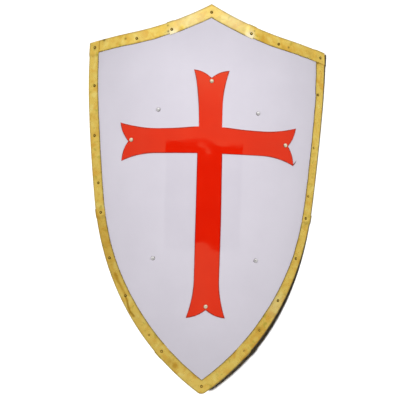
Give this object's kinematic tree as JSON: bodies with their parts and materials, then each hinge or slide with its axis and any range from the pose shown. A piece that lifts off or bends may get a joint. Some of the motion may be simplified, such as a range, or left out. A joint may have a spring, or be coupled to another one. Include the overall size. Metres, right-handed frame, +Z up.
{
  "type": "crusader shield",
  "caption": "Heater-shaped crusader shield: white bent steel plate, riveted red cross, folded brass edging, leather straps behind.",
  "frame": {"origin": "centre of the bounding box on the ground, under the shield as it lies face up", "axes": "+Y along the shield towards its peak, +X to its right as seen in the picture, +Z up, out of the painted face"},
  "size_m": [0.5166, 0.8008, 0.092],
  "materials": {
    "plate_paint": "glossy off-white paint on steel",
    "cross_paint": "glossy bright red paint on steel",
    "edging_brass": "hand-folded sheet brass, lightly tarnished",
    "dome_steel": "worn bright rivets",
    "strap_leather": "dark brown smooth leather"
  },
  "bodies": {
    "root": {"shield_plate": "plate_paint", "cross": "cross_paint", "edging_peak": "edging_brass", "edging_top_left": "edging_brass", "edging_top_right": "edging_brass", "edging_upper_left": "edging_brass", "edging_upper_right": "edging_brass", "edging_lower_left": "edging_brass", "edging_lower_right": "edging_brass", "edging_tip": "edging_brass", "rivet_peak": "edging_brass", "rivet_tip": "edging_brass", "rivet_corner_left": "edging_brass", "rivet_top_lap_left": "edging_brass", "rivet_top_left": "edging_brass", "rivet_side_lap_left": "edging_brass", "rivet_tip_lap_left": "edging_brass", "rivet_side_left_1": "edging_brass", "rivet_side_left_2": "edging_brass", "rivet_side_left_3": "edging_brass", "rivet_side_left_4": "edging_brass", "rivet_side_left_5": "edging_brass", "rivet_side_left_6": "edging_brass", "rivet_corner_right": "edging_brass", "rivet_top_lap_right": "edging_brass", "rivet_top_right": "edging_brass", "rivet_side_lap_right": "edging_brass", "rivet_tip_lap_right": "edging_brass", "rivet_side_right_1": "edging_brass", "rivet_side_right_2": "edging_brass", "rivet_side_right_3": "edging_brass", "rivet_side_right_4": "edging_brass", "rivet_side_right_5": "edging_brass", "rivet_side_right_6": "edging_brass", "cross_rivet_top": "dome_steel", "cross_rivet_right": "dome_steel", "cross_rivet_bottom": "dome_steel", "cross_rivet_left": "dome_steel", "strap_rivet_grip_left": "dome_steel", "strap_rivet_grip_right": "dome_steel", "strap_rivet_arm_left": "dome_steel", "strap_rivet_arm_right": "dome_steel", "washer_grip_left": "dome_steel", "washer_grip_right": "dome_steel", "washer_arm_left": "dome_steel", "washer_arm_right": "dome_steel", "strap_grip": "strap_leather", "strap_arm": "strap_leather"}
  },
  "joints": []
}
